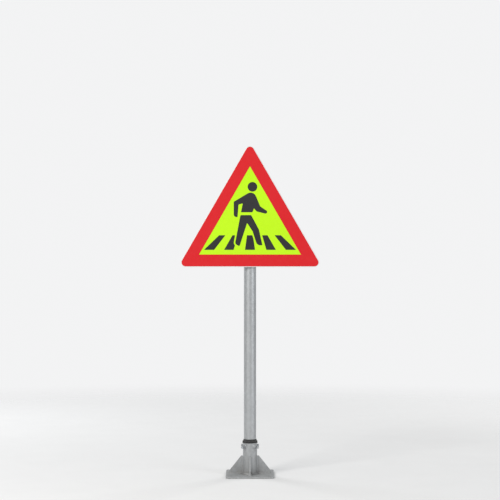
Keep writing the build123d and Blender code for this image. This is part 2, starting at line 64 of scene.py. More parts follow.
# ----------------------------------------------------------------------------- node graph helper
class Graph:
    """A material's node graph, built call by call. Each call returns an output socket."""

    def __init__(self, name):
        self.material = bpy.data.materials.new(name)
        self.material.use_nodes = True
        self.tree = self.material.node_tree
        self.tree.nodes.clear()
        self.coord = self.tree.nodes.new("ShaderNodeTexCoord").outputs["Object"]

    def node(self, kind, **settings):
        n = self.tree.nodes.new(kind)
        for key, value in settings.items():
            setattr(n, key, value)
        return n

    def feed(self, socket, value):
        if isinstance(value, bpy.types.NodeSocket):
            self.tree.links.new(value, socket)
        elif value is not None:
            if hasattr(socket.default_value, "__len__") and not hasattr(value, "__len__"):
                value = (value,) * len(socket.default_value)
            if hasattr(value, "__len__") and len(value) == 3 and len(socket.default_value) == 4:
                value = (*value, 1.0)
            socket.default_value = value

    def place(self, scale=(1, 1, 1), move=(0, 0, 0), turn=(0, 0, 0), vector=None):
        n = self.node("ShaderNodeMapping")
        self.feed(n.inputs["Vector"], vector or self.coord)
        n.inputs["Location"].default_value = move
        n.inputs["Rotation"].default_value = turn
        n.inputs["Scale"].default_value = scale
        return n.outputs[0]

    def jostle(self, scale, amount, vector=None):
        """The coordinates pushed about by a noise, so that cells meet in ragged lines."""
        n = self.node("ShaderNodeTexNoise")
        self.feed(n.inputs["Vector"], vector or self.coord)
        n.inputs["Scale"].default_value = scale
        n.inputs["Detail"].default_value = 4.0
        n.inputs["Roughness"].default_value = 0.65
        centred = self.node("ShaderNodeVectorMath", operation="SUBTRACT")
        self.feed(centred.inputs[0], n.outputs["Color"])
        centred.inputs[1].default_value = (0.5, 0.5, 0.5)
        scaled = self.node("ShaderNodeVectorMath", operation="SCALE")
        self.feed(scaled.inputs[0], centred.outputs[0])
        scaled.inputs["Scale"].default_value = amount
        moved = self.node("ShaderNodeVectorMath", operation="ADD")
        self.feed(moved.inputs[0], vector or self.coord)
        self.feed(moved.inputs[1], scaled.outputs[0])
        return moved.outputs[0]

    def noise(self, scale, detail=3.0, rough=0.5, warp=0.0, vector=None):
        n = self.node("ShaderNodeTexNoise")
        self.feed(n.inputs["Vector"], vector or self.coord)
        n.inputs["Scale"].default_value = scale
        n.inputs["Detail"].default_value = detail
        n.inputs["Roughness"].default_value = rough
        n.inputs["Distortion"].default_value = warp
        return n.outputs["Fac"]

    def cells(self, scale, out="Color", feature="F1", jitter=1.0, vector=None):
        n = self.node("ShaderNodeTexVoronoi", feature=feature)
        self.feed(n.inputs["Vector"], vector or self.coord)
        n.inputs["Scale"].default_value = scale
        n.inputs["Randomness"].default_value = jitter
        return n.outputs[out]

    def math(self, op, a, b=None, c=None, clamp=False):
        n = self.node("ShaderNodeMath", operation=op, use_clamp=clamp)
        for socket, value in zip(n.inputs, (a, b, c)):
            self.feed(socket, value)
        return n.outputs[0]

    def span(self, value, a, b, c=0.0, d=1.0, smooth=False):
        n = self.node("ShaderNodeMapRange", interpolation_type="SMOOTHSTEP" if smooth else "LINEAR")
        for socket, v in zip(n.inputs, (value, a, b, c, d)):
            self.feed(socket, v)
        return n.outputs[0]

    def mix(self, factor, a, b, blend="MIX"):
        n = self.node("ShaderNodeMix", data_type="RGBA", blend_type=blend)
        self.feed(n.inputs[0], factor)
        self.feed(n.inputs[6], a)
        self.feed(n.inputs[7], b)
        return n.outputs[2]

    def split(self, vector=None):
        n = self.node("ShaderNodeSeparateXYZ")
        self.feed(n.inputs[0], vector or self.coord)
        return n.outputs[0], n.outputs[1], n.outputs[2]

    def join(self, x, y, z):
        n = self.node("ShaderNodeCombineXYZ")
        for socket, v in zip(n.inputs, (x, y, z)):
            self.feed(socket, v)
        return n.outputs[0]

    def normal_axis(self):
        n = self.node("ShaderNodeNewGeometry")
        return self.split(n.outputs["Normal"])

    def edge_wear(self):
        """Near 1 on sharp convex edges, from the mesh's own curvature."""
        n = self.node("ShaderNodeNewGeometry")
        return self.span(n.outputs["Pointiness"], 0.52, 0.60, 0.0, 1.0, smooth=True)

    def bump(self, height, distance, strength=1.0, normal=None):
        n = self.node("ShaderNodeBump")
        n.inputs["Strength"].default_value = strength
        n.inputs["Distance"].default_value = distance
        self.feed(n.inputs["Height"], height)
        if normal is not None:
            self.feed(n.inputs["Normal"], normal)
        return n.outputs[0]

    def surface(self, colour, roughness, metallic=0.0, normal=None, **fixed):
        """The shader. Anything in fixed is one number all over, set on the shader's own socket."""
        shader = self.node("ShaderNodeBsdfPrincipled")
        self.feed(shader.inputs["Base Color"], colour)
        self.feed(shader.inputs["Roughness"], roughness)
        self.feed(shader.inputs["Metallic"], metallic)
        if normal is not None:
            self.feed(shader.inputs["Normal"], normal)
        for key, value in fixed.items():
            shader.inputs[key.replace("_", " ")].default_value = value
        out = self.node("ShaderNodeOutputMaterial")
        self.tree.links.new(shader.outputs[0], out.inputs["Surface"])
        return self.material


# ----------------------------------------------------------------------------- materials
def galvanised(name, tint=(0.47, 0.485, 0.495), spangle=85.0, splash_top=0.30, streaks=True, foot=False, seam=False):
    """Hot-dip zinc: a mosaic of faint crystals, cloudy patina, rain streaks, and road dirt thrown up near the ground."""
    g = Graph(name)
    x, y, z = g.split()
    ragged_coord = g.jostle(150.0, 0.010, g.place(scale=(1, 1, 0.72)))
    r, gch, b = g.split(g.cells(spangle, "Color", vector=ragged_coord))
    fr, _, _ = g.split(g.cells(spangle * 2.7, "Color", vector=ragged_coord))
    cloud = g.noise(7.0, 5.0, 0.6, 0.3)
    lightness = g.math("ADD", g.span(r, 0, 1, -0.060, 0.060), g.span(fr, 0, 1, -0.030, 0.030))
    lightness = g.math("ADD", lightness, g.span(cloud, 0.3, 0.7, -0.055, 0.05))
    if streaks:
        run = g.noise(30.0, 3.0, 0.55, vector=g.place(scale=(1, 1, 0.030)))
        lightness = g.math("ADD", lightness, g.span(run, 0.35, 0.72, 0.030, -0.050))
    if seam:
        # the rolled tube's own weld, scarfed flat: a thin line down its back with a slightly darker band beside it
        angle = g.math("ARCTAN2", x, y)
        off = g.math("ABSOLUTE", g.math("SUBTRACT", angle, 0.42))
        lightness = g.math("ADD", lightness, g.span(off, 0.045, 0.085, -0.030, 0.0, smooth=True))
        lightness = g.math("ADD", lightness, g.span(off, 0.006, 0.014, -0.055, 0.0, smooth=True))
    level = g.math("ADD", lightness, 1.0)
    colour = g.mix(1.0, tint, g.join(level, level, level), "MULTIPLY")
    # chalky white bloom where water stands
    bloom = g.span(g.noise(19.0, 6.0, 0.62, 0.6), 0.60, 0.78, 0.0, 0.26, smooth=True)
    colour = g.mix(bloom, colour, (0.60, 0.61, 0.61))
    # dirt and splash low down, thickest in the angle where the sleeve meets the plate
    ragged = g.math("ADD", z, g.span(g.noise(34.0, 5.0, 0.65), 0, 1, -0.10, 0.10))
    low = g.span(ragged, 0.0, splash_top, 1.0, 0.0, smooth=True)
    speck = g.span(g.noise(75.0, 5.0, 0.62), 0.36, 0.68, 0.30, 1.0)
    dirt = g.math("MULTIPLY", g.math("MULTIPLY", low, speck), 0.30)
    if foot:
        reach = g.math("SQRT", g.math("ADD", g.math("MULTIPLY", x, x), g.math("MULTIPLY", y, y)))
        near = g.math("MULTIPLY", g.span(reach, 0.046, 0.105, 1.0, 0.0, smooth=True), g.span(z, 0.012, 0.045, 1.0, 0.0, smooth=True))
        dirt = g.math("ADD", dirt, g.math("MULTIPLY", g.math("MULTIPLY", near, g.span(g.noise(120.0, 5.0, 0.6), 0.3, 0.65, 0.45, 1.0)), 0.34), clamp=True)
        # darker band along the plate's lowest 4 mm, where it stands on the floor, flecked by the same speck noise
        dirt = g.math("ADD", dirt, g.math("MULTIPLY", g.span(z, 0.0, 0.004, 0.30, 0.0, smooth=True), speck), clamp=True)
    colour = g.mix(dirt, colour, (0.175, 0.150, 0.120))
    weather = g.math("ADD", bloom, dirt)
    rough = g.math("ADD", g.span(gch, 0, 1, 0.475, 0.535), g.math("MULTIPLY", weather, 0.30), clamp=True)
    metal = g.math("SUBTRACT", 0.78, g.math("MULTIPLY", weather, 0.8), clamp=True)
    height = g.math("ADD", g.noise(9.0, 2.0, 0.4), g.math("MULTIPLY", g.noise(420.0, 4.0, 0.55), 0.07))
    normal = g.bump(height, 0.0011, 0.30)
    normal = g.bump(g.cells(spangle, "Distance", vector=ragged_coord), 0.0004, 0.16, normal)
    return g.surface(colour, rough, metal, normal, Specular_IOR_Level=0.5)


def weld_metal(name):
    """Galvanised weld: zinc lies brighter on the crests, and dirt stays in the toes low down."""
    g = Graph(name)
    cloud = g.noise(45.0, 5.0, 0.6)
    x, y, z = g.split()
    n = g.node("ShaderNodeNewGeometry")
    crest = g.span(n.outputs["Pointiness"], 0.46, 0.56, 0.0, 1.0, smooth=True)
    colour = g.mix(g.span(cloud, 0.3, 0.7), (0.40, 0.415, 0.425), (0.48, 0.49, 0.50))
    colour = g.mix(g.math("MULTIPLY", crest, 0.35), colour, (0.60, 0.61, 0.62))
    dirt = g.math("MULTIPLY", g.span(g.noise(120.0, 4.0, 0.65), 0.42, 0.68, 0.15, 0.6), g.span(z, 0.012, 0.10, 1.0, 0.25, smooth=True))
    colour = g.mix(dirt, colour, (0.19, 0.165, 0.135))
    rough = g.math("ADD", g.span(cloud, 0.3, 0.7, 0.40, 0.54), g.math("MULTIPLY", dirt, 0.3), clamp=True)
    metal = g.math("SUBTRACT", 0.80, g.math("MULTIPLY", dirt, 0.7), clamp=True)
    return g.surface(colour, rough, metal, g.bump(g.noise(520.0, 4.0, 0.6), 0.0004, 0.45))


def plated(name, tint, rough_lo, rough_hi, passivation=None):
    """Zinc-plated or stainless hardware: turned lines, handling marks and a little grime in the corners."""
    g = Graph(name)
    cloud = g.noise(110.0, 5.0, 0.6)
    turned = g.noise(1400.0, 2.0, 0.5, vector=g.place(scale=(0.25, 1.0, 1.0)))
    colour = g.mix(g.span(cloud, 0.3, 0.7), tuple(c * 0.88 for c in tint), tint)
    if passivation:
        colour = g.mix(g.span(g.noise(60.0, 4.0, 0.6, 1.2), 0.42, 0.68, 0.0, 0.35, smooth=True), colour, passivation)
    grime = g.span(g.noise(170.0, 5.0, 0.6), 0.56, 0.78, 0.0, 0.32, smooth=True)
    colour = g.mix(grime, colour, (0.20, 0.18, 0.15))
    rough = g.math("ADD", g.span(cloud, 0.3, 0.7, rough_lo, rough_hi), g.math("MULTIPLY", grime, 0.3), clamp=True)
    metal = g.math("SUBTRACT", 1.0, g.math("MULTIPLY", grime, 0.7), clamp=True)
    return g.surface(colour, rough, metal, g.bump(turned, 0.00012, 0.6))


def sheet_aluminium(name):
    """Rolled sheet: fine lines along the mill direction, a passivated haze, and faint runs of rain water."""
    g = Graph(name)
    lines = g.noise(900.0, 3.0, 0.55, vector=g.place(scale=(0.012, 1.0, 1.0)))
    broad = g.noise(60.0, 3.0, 0.5, vector=g.place(scale=(0.02, 1.0, 1.0)))
    haze = g.noise(4.5, 5.0, 0.6, 0.5)
    runs = g.noise(34.0, 4.0, 0.6, vector=g.place(scale=(1, 1, 0.05)))
    level = g.math("ADD", g.span(lines, 0.3, 0.7, 0.95, 1.04), g.span(haze, 0.3, 0.7, -0.07, 0.05))
    level = g.math("ADD", level, g.span(broad, 0.3, 0.7, -0.02, 0.02))
    level = g.math("ADD", level, g.span(runs, 0.55, 0.75, 0.0, -0.10))
    colour = g.mix(1.0, (0.575, 0.585, 0.595), g.join(level, level, level), "MULTIPLY")
    spots = g.span(g.noise(75.0, 5.0, 0.7), 0.63, 0.76, 0.0, 0.35, smooth=True)
    colour = g.mix(spots, colour, (0.40, 0.40, 0.39))
    rough = g.math("ADD", g.span(haze, 0.3, 0.7, 0.41, 0.53), g.span(lines, 0.3, 0.7, -0.03, 0.05))
    # painted highlight: the pressed front edge is painted pale and made dull all round the sheeting, so that it reads
    # as a light rim instead of showing dark reflections
    x, y, z = g.split()
    nx, ny, nz = g.normal_axis()
    painted_light_rim = g.math("MULTIPLY", g.span(y, -0.0578, -0.0572, 1.0, 0.0), g.span(ny, 0.0, 0.2, 1.0, 0.0))
    colour = g.mix(g.math("MULTIPLY", painted_light_rim, 0.85), colour, (0.84, 0.84, 0.84))
    metal = g.span(painted_light_rim, 0.0, 1.0, 0.93, 0.12)
    rough = g.math("ADD", rough, g.math("MULTIPLY", painted_light_rim, 0.12), clamp=True)
    normal = g.bump(lines, 0.00008, 0.6)
    normal = g.bump(g.noise(3.2, 2.0, 0.4), 0.004, 0.35, normal)
    return g.surface(colour, rough, metal, normal)


def extruded_aluminium(name, tint=(0.66, 0.67, 0.68)):
    g = Graph(name)
    die = g.noise(700.0, 3.0, 0.6, vector=g.place(scale=(0.004, 1.0, 1.0)))
    haze = g.noise(22.0, 4.0, 0.6)
    level = g.math("ADD", g.span(die, 0.3, 0.7, 0.92, 1.05), g.span(haze, 0.3, 0.7, -0.05, 0.04))
    colour = g.mix(1.0, tint, g.join(level, level, level), "MULTIPLY")
    grime = g.span(g.noise(150.0, 5.0, 0.7), 0.58, 0.76, 0.0, 0.4, smooth=True)
    colour = g.mix(grime, colour, (0.27, 0.25, 0.22))
    rough = g.math("ADD", g.span(haze, 0.3, 0.7, 0.32, 0.44), g.math("MULTIPLY", grime, 0.3), clamp=True)
    return g.surface(colour, rough, 0.95, g.bump(die, 0.00018, 0.7))


def rubber(name):
    g = Graph(name)
    cloud = g.noise(70.0, 5.0, 0.65)
    x, y, z = g.normal_axis()
    dust = g.math("MULTIPLY", g.span(z, 0.1, 0.9, 0.05, 0.38), g.span(cloud, 0.35, 0.65), clamp=True)
    colour = g.mix(g.span(cloud, 0.3, 0.7), (0.018, 0.018, 0.019), (0.036, 0.036, 0.037))
    colour = g.mix(dust, colour, (0.17, 0.165, 0.155))
    rough = g.span(cloud, 0.3, 0.7, 0.62, 0.82)
    return g.surface(colour, rough, 0.0, g.bump(g.noise(1500.0, 3.0, 0.6), 0.0002, 0.5), Specular_IOR_Level=0.35)


def moulded_plastic(name):
    g = Graph(name)
    cloud = g.noise(28.0, 5.0, 0.6)
    x, y, z = g.normal_axis()
    bleached = g.math("MULTIPLY", g.span(z, 0.0, 1.0, 0.05, 0.5), g.span(cloud, 0.3, 0.7, 0.5, 1.0), clamp=True)
    colour = g.mix(g.span(cloud, 0.3, 0.7), (0.030, 0.031, 0.034), (0.048, 0.049, 0.052))
    colour = g.mix(bleached, colour, (0.13, 0.13, 0.13))
    grain = g.cells(1700.0, "Distance")
    rough = g.span(cloud, 0.3, 0.7, 0.48, 0.62)
    return g.surface(colour, rough, 0.0, g.bump(grain, 0.00025, 0.6), Specular_IOR_Level=0.4)


def sheeting(name, colour_lo, colour_hi, seal, rough_lo=0.26, rough_hi=0.36, prism=1.0, glow=None):
    """Prismatic road-sign sheeting: rows of tiny corner cubes under a clear skin, divided by a net of diamond seal lines."""
    g = Graph(name)
    x, y, z = g.split()
    # two families of seal lines at 60 degrees, 8 mm apart
    lines = []
    for angle in (math.radians(30), math.radians(-30)):
        across = g.math("ADD", g.math("MULTIPLY", x, math.cos(angle)), g.math("MULTIPLY", z, math.sin(angle)))
        phase = g.math("FRACT", g.math("ADD", g.math("MULTIPLY", across, 125.0), 100.0))
        lines.append(g.math("ABSOLUTE", g.math("SUBTRACT", phase, 0.5)))
    net = g.math("MINIMUM", g.math("SUBTRACT", 0.5, lines[0]), g.math("SUBTRACT", 0.5, lines[1]))
    net = g.span(net, 0.03, 0.075, 1.0, 0.0, smooth=True)
    # the cubes' own rows, 0.9 mm
    rows = []
    for angle in (0, math.radians(60), math.radians(120)):
        across = g.math("ADD", g.math("MULTIPLY", x, math.cos(angle)), g.math("MULTIPLY", z, math.sin(angle)))
        phase = g.math("FRACT", g.math("ADD", g.math("MULTIPLY", across, 1100.0), 900.0))
        rows.append(g.math("ABSOLUTE", g.math("SUBTRACT", phase, 0.5)))
    cubes = g.math("MAXIMUM", rows[0], g.math("MAXIMUM", rows[1], rows[2]))
    haze = g.noise(5.0, 4.0, 0.55, 0.4)
    film = g.noise(30.0, 5.0, 0.6)
    colour = g.mix(g.span(haze, 0.3, 0.7), colour_lo, colour_hi)
    colour = g.mix(g.math("MULTIPLY", g.span(cubes, 0.25, 0.5), 0.07 * prism), colour, tuple(c * 0.78 for c in colour_hi))
    colour = g.mix(g.math("MULTIPLY", net, 0.24 * prism), colour, seal)
    # a breath of road film, thicker towards the lower edge
    dust = g.math("MULTIPLY", g.span(film, 0.40, 0.72), g.span(z, 1.30, 1.55, 0.010, 0.003))
    colour = g.mix(dust, colour, (0.45, 0.43, 0.39))
    rough = g.math("ADD", g.span(film, 0.3, 0.7, rough_lo, rough_hi), g.math("MULTIPLY", net, 0.06), clamp=True)
    normal = g.bump(g.math("MULTIPLY", net, -1.0), 0.00008, 0.4)
    normal = g.bump(g.noise(2.6, 2.0, 0.4), 0.0030, 0.18, normal)
    fixed = {"Specular_IOR_Level": 0.42, "Coat_Weight": 0.0}
    if glow:
        fixed["Emission_Color"] = (*glow[0], 1.0)
        fixed["Emission_Strength"] = glow[1]
    return g.surface(colour, rough, 0.0, normal, **fixed)


def symbol_film(name):
    """Opaque dark film cut to shape: even colour, satin skin, hairline scratches that catch light."""
    g = Graph(name)
    haze = g.noise(9.0, 4.0, 0.6)
    hair = g.noise(420.0, 2.0, 0.5, vector=g.place(scale=(1.0, 1.0, 0.06), turn=(0, 0.5, 0)))
    colour = g.mix(g.span(haze, 0.3, 0.7), (0.028, 0.028, 0.0290), (0.035, 0.035, 0.0362))
    colour = g.mix(g.span(hair, 0.66, 0.78, 0.0, 0.2), colour, (0.07, 0.07, 0.07))
    rough = g.math("ADD", g.span(haze, 0.3, 0.7, 0.30, 0.38), g.span(hair, 0.6, 0.78, 0.0, 0.12))
    normal = g.bump(g.noise(2.6, 2.0, 0.4), 0.0035, 0.30)
    return g.surface(colour, rough, 0.0, normal, Specular_IOR_Level=0.30)


GALV = galvanised("galvanised_steel", foot=True)
GALV_POST = galvanised("galvanised_tube", tint=(0.49, 0.505, 0.515), spangle=78.0, splash_top=0.42, seam=True)
GALV_SMALL = galvanised("galvanised_strap", tint=(0.50, 0.51, 0.52), spangle=140.0, splash_top=0.0, streaks=False)
WELD = weld_metal("weld_metal")
ZINC = plated("zinc_plated", (0.56, 0.58, 0.61), 0.30, 0.42, passivation=(0.55, 0.56, 0.48))
STAINLESS = plated("stainless_steel", (0.58, 0.575, 0.56), 0.24, 0.36)
PANEL = sheet_aluminium("panel_sheet")
RAIL = extruded_aluminium("extruded_rail")
SADDLE = extruded_aluminium("saddle_casting", tint=(0.58, 0.59, 0.60))
RIVET = plated("rivet_aluminium", (0.70, 0.70, 0.71), 0.26, 0.36)
RUBBER = rubber("weathered_rubber")
CAP = moulded_plastic("cap_plastic")
FIELD = sheeting("field_sheeting", (0.530, 0.920, 0.004), (0.548, 0.940, 0.005), (0.61, 0.96, 0.030), 0.30, 0.36)
BORDER = sheeting("border_sheeting", (0.690, 0.011, 0.016), (0.706, 0.012, 0.018), (0.735, 0.026, 0.031), 0.28, 0.34)
SYMBOL = symbol_film("symbol_film")

FINISH = {
    "base_plate": GALV, "socket_sleeve": GALV, "socket_spigot": GALV, "base_gussets": GALV, "base_welds": WELD,
    "socket_bosses": GALV, "lock_screws": ZINC, "lock_nuts": ZINC, "socket_seal": RUBBER, "post_tube": GALV_POST,
    "post_cap": CAP, "lower_saddle": SADDLE, "upper_saddle": SADDLE, "lower_strap": GALV_SMALL,
    "upper_strap": GALV_SMALL, "clamp_bolts": STAINLESS, "clamp_washers": STAINLESS, "clamp_nuts": STAINLESS,
    "sign_panel": PANEL, "lower_rail": RAIL, "upper_rail": RAIL, "rail_rivets": RIVET, "field_film": FIELD,
    "border_film": BORDER, "figure_film": SYMBOL, "crossing_film": SYMBOL,
}
for name, node in nodes.items():
    node.data.materials.clear()
    node.data.materials.append(FINISH[name])

# ----------------------------------------------------------------------------- mesh helpers
MM = 0.001
TAU = 2 * math.pi
# ten columns to each of a hexagon's six sides, closer together at the corners
HEX_ANGLES = [math.radians(60 * side + 30 + a) for side in range(6) for a in (-30, -28.4, -24, -17, -8, 0, 8, 17, 24, 28.4)]


def basis(origin, up, side):
    """Local Z along up and local X along side, at origin, which is in millimetres."""
    z, x = Vector(up).normalized(), Vector(side).normalized()
    m = Matrix((x, z.cross(x), z)).transposed().to_4x4()
    m.translation = Vector(origin) * MM
    return m


def ring(bm, place, radii, heights, angles=HEX_ANGLES):
    """Vertices at these angles round local Z. A radius or height is one number, or one for each angle."""
    n = len(angles)
    radii = radii if hasattr(radii, "__len__") else [radii] * n
    heights = heights if hasattr(heights, "__len__") else [heights] * n
    return [
        bm.verts.new(place @ Vector((r * math.cos(a) * MM, r * math.sin(a) * MM, h * MM)))
        for a, r, h in zip(angles, radii, heights)
    ]


def pole(bm, place, height):
    return [bm.verts.new(place @ Vector((0, 0, height * MM)))]


def skin(bm, rings, closed=False):
    """Faces from each ring of vertices to the next. A ring of one vertex is a pole."""
    for a, b in zip(rings, rings[1:] + (rings[:1] if closed else [])):
        for k in range(max(len(a), len(b))):
            corners = [a[k % len(a)], a[(k + 1) % len(a)], b[(k + 1) % len(b)], b[k % len(b)]]
            corners = list(dict.fromkeys(corners))
            if len(corners) > 2:
                bm.faces.new(corners)


def finished(bm, name, material, body, slot_name, *stands_for, crease=34.0):
    """Turns a bmesh into a piece: welded, normals out, sharp edges marked, riding on its body."""
    bmesh.ops.remove_doubles(bm, verts=bm.verts, dist=2e-6)
    bmesh.ops.recalc_face_normals(bm, faces=bm.faces)
    for f in bm.faces:
        f.smooth = True
    limit = math.radians(crease)
    for e in bm.edges:
        e.smooth = len(e.link_faces) == 2 and e.calc_face_angle() < limit
    mesh = bpy.data.meshes.new(name)
    bm.to_mesh(mesh)
    bm.free()
    mesh.materials.append(material)
    piece = bpy.data.objects.new(name, mesh)
    scene.collection.objects.link(piece)
    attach(piece, body)
    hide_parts(*stands_for)
    return piece


def hex_radii(across, ease=0.985):
    """Distance from a hexagon's centre to its side at each of HEX_ANGLES, flats facing local Y, corners just eased."""
    corner = across / math.sqrt(3) * ease
    return [min(across / 2 / math.cos(a % (TAU / 6) - TAU / 12), corner) for a in HEX_ANGLES]


def hex_end(bm, place, across, z, towards):
    """The two rings where a hexagon's end at z is turned off by a 30 degree cone. towards is the way out, 1 or -1."""
    rim = 0.955 * across / 2
    reach = hex_radii(across)
    sunk = [z - towards * (r - rim) * math.tan(math.radians(30)) for r in reach]
    return ring(bm, place, rim, z), ring(bm, place, reach, sunk)


def thread(bm, place, major, pitch, z0, z1):
    """A right-handed ISO thread along local Z. Its edges are true helices, and it runs out at z0 and into a chamfer at z1.
    Returns the first and last rings."""
    minor = major - 0.6134 * pitch
    marks = ((0.0, major), (0.125, major), (0.4375, minor), (0.6875, minor))
    tip = minor - 0.25
    start = z0 - pitch
    last = 4 * (math.ceil((z1 - start) / pitch) + 1)
    rows = []
    for j in range(last + 1):
        turn, mark = divmod(j, 4)
        heights = [min(max(start + (turn + marks[mark][0] + a / TAU) * pitch, z0), z1) for a in HEX_ANGLES]
        radii = [min(marks[mark][1], minor + (h - z0), tip + (z1 - h)) for h in heights]
        rows.append(ring(bm, place, radii, heights))
    n = len(HEX_ANGLES)
    for j in range(last):
        for k in range(n):
            if k + 1 < n:
                corners = [rows[j][k], rows[j][k + 1], rows[j + 1][k + 1], rows[j + 1][k]]
            else:
                corners = [rows[j][k], rows[min(j + 4, last)][0], rows[min(j + 5, last)][0], rows[j + 1][k]]
            corners = list(dict.fromkeys(corners))
            if len(corners) > 2:
                bm.faces.new(corners)
    return rows[0], rows[last]


def hex_bolt(bm, place, across, head, major, pitch, length):
    """A hexagon-head screw: head from -head to 0, threaded shank from 0 to length."""
    rim, sunk = hex_end(bm, place, across, -head, -1)
    first, last = thread(bm, place, major, pitch, 0.7, length)
    minor = major - 0.6134 * pitch
    skin(bm, [
        pole(bm, place, -head + 0.25), ring(bm, place, 0.60 * across / 2, -head + 0.25),
        ring(bm, place, 0.66 * across / 2, -head), rim, sunk, ring(bm, place, hex_radii(across), -0.35),
        ring(bm, place, 0.95 * across / 2, -0.35), ring(bm, place, 0.95 * across / 2, 0),
        ring(bm, place, minor + 0.5, 0), ring(bm, place, minor + 0.12, 0.2), first,
    ])
    skin(bm, [last, pole(bm, place, length)])


def hex_nut(bm, place, across, height, bore, sink=0.55):
    """A nut from 0 to height, both ends chamfered, the bore countersunk at each mouth."""
    low_rim, low_sunk = hex_end(bm, place, across, 0, -1)
    top_rim, top_sunk = hex_end(bm, place, across, height, 1)
    skin(bm, [
        ring(bm, place, bore, sink), ring(bm, place, bore + sink, 0), low_rim, low_sunk, top_sunk, top_rim,
        ring(bm, place, bore + sink, height), ring(bm, place, bore, height - sink),
    ], closed=True)


def even(n):
    return [TAU * k / n for k in range(n)]


def weld_bead(bm, path, leg, closed=False, seed=0.0, pitch=1.9, columns=8):
    """A convex fillet bead laid along a path of (corner, along one leg, along the other leg) in millimetres:
    crescent ripples, wandering toes, and round ends."""
    step = [0.0]
    for (a, _, _), (b, _, _) in zip(path, path[1:]):
        step.append(step[-1] + (b - a).length)
    total = step[-1] + ((path[0][0] - path[-1][0]).length if closed else 0.0)
    rings = []
    for s, (corner, up, out) in zip(step, path):
        swell = 1.0
        if not closed:
            t = min(1.0, min(s, total - s) / (0.5 * leg))
            swell = math.sqrt(max(0.0, 1 - (1 - t) ** 2))
        if swell < 1e-3:
            rings.append([bm.verts.new(corner * MM)])
            continue
        outward = (up + out).normalized()
        spot = (corner * 0.11) + Vector((seed, seed * 0.7, 0))
        toe_a = 1 + 0.09 * noise.noise(spot * 1.7)
        toe_b = 1 + 0.09 * noise.noise(spot * 1.7 + Vector((9.1, 4.2, 7.7)))
        crown = 0.17 + 0.05 * noise.noise(spot * 0.9 + Vector((3.3, 8.8, 1.4)))
        verts = [bm.verts.new((corner - 0.25 * (up + out)) * MM)]
        for k in range(columns + 1):
            u = k / columns
            arch = math.sin(math.pi * u)
            wave = 0.5 + 0.5 * math.cos(TAU * (s + 0.55 * leg * arch) / pitch)
            p = up * (leg * toe_a * (1 - u)) + out * (leg * toe_b * u)
            p += outward * (leg * crown * arch + 0.036 * leg * (wave ** 0.7 - 0.5) * arch ** 0.5)
            if k == 0:
                p -= out * 0.06
            if k == columns:
                p -= up * 0.06
            verts.append(bm.verts.new((corner + p * swell) * MM))
        rings.append(verts)
    skin(bm, rings, closed=closed)


# ----------------------------------------------------------------------------- fasteners
def box_mm(node):
    lo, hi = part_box(node)
    return lo / MM, hi / MM


washer_lo, washer_hi = box_mm("clamp_washers")
bolt_lo, bolt_hi = box_mm("clamp_bolts")
nut_lo, nut_hi = box_mm("clamp_nuts")
bolt_x = washer_hi.x - 10.0
clamp_z = [sum(c.z for c in box_mm(n)) / 2 for n in ("lower_strap", "upper_strap")]

bolts, nuts = bmesh.new(), bmesh.new()
for z in clamp_z:
    for x in (-bolt_x, bolt_x):
        hex_bolt(bolts, basis((x, bolt_lo.y + 6.4, z), (0, 1, 0), (1, 0, 0)), 17.0, 6.4, 5.0, 1.5, bolt_hi.y - bolt_lo.y - 6.4)
        hex_nut(nuts, basis((x, nut_lo.y, z), (0, 1, 0), (1, 0, 0)), 16.0, nut_hi.y - nut_lo.y, 5.04)
finished(bolts, "m10_clamp_bolts", STAINLESS, "clamps", "stainless_fastener", "clamp_bolts")
finished(nuts, "m10_clamp_nuts", STAINLESS, "clamps", "stainless_fastener", "clamp_nuts")

SLEEVE_R = 44.45
PLATE_TOP = box_mm("base_plate")[1].z
lock_z = sum(c.z for c in box_mm("lock_screws")) / 2
screws, lock_nuts = bmesh.new(), bmesh.new()
lock_ways = [Vector((math.cos(a), math.sin(a), 0)) for a in (math.radians(45 + 90 * k) for k in range(4))]
for way in lock_ways:
    across_way = Vector((0, 0, 1)).cross(way)
    at = lambda r: way * r + Vector((0, 0, lock_z))
    hex_bolt(screws, basis(at(63.15), -way, across_way), 18.0, 7.5, 6.0, 1.75, 25.0)
    hex_nut(lock_nuts, basis(at(54.0), way, across_way), 18.0, 6.0, 6.04)
finished(screws, "m12_lock_screws", ZINC, "base", "zinc_fastener", "lock_screws")
finished(lock_nuts, "m12_lock_nuts", ZINC, "base", "zinc_fastener", "lock_nuts")

# blind rivets: domed head, with the broken-off mandrel sunk in its middle
rivets = bmesh.new()
panel_lo, panel_hi = box_mm("sign_panel")
rivet_lo, rivet_hi = box_mm("rail_rivets")
head_y = rivet_hi.y - 1.3
for z, xs in ((clamp_z[0], (-290, -195, -98, 0, 98, 195, 290)), (clamp_z[1], (-112, -38, 38, 112))):
    for x in xs:
        for up in (-17.5, 17.5):
            place = basis((x, head_y, z + up), (0, 1, 0), (1, 0, 0))
            circle = even(28)
            dome_r = (4.0**2 + 1.3**2) / 2.6
            dome = [(r, 1.3 - dome_r + math.sqrt(dome_r**2 - r * r)) for r in (3.94, 3.6, 3.1, 2.4, 1.75)]
            profile = [(1.95, rivet_lo.y - head_y), (1.95, 0), (4.0, 0), (4.03, 0.12)] + dome
            profile += [(1.38, 1.22), (1.22, 1.10), (1.18, 0.62), (1.04, 0.60), (1.0, 0.82), (0.86, 0.90)]
            skin(rivets, [pole(rivets, place, rivet_lo.y - head_y)]
                 + [ring(rivets, place, r, h, circle) for r, h in profile] + [pole(rivets, place, 0.93)])
finished(rivets, "blind_rivets", RIVET, "sign", "rivet_aluminium", "rail_rivets")

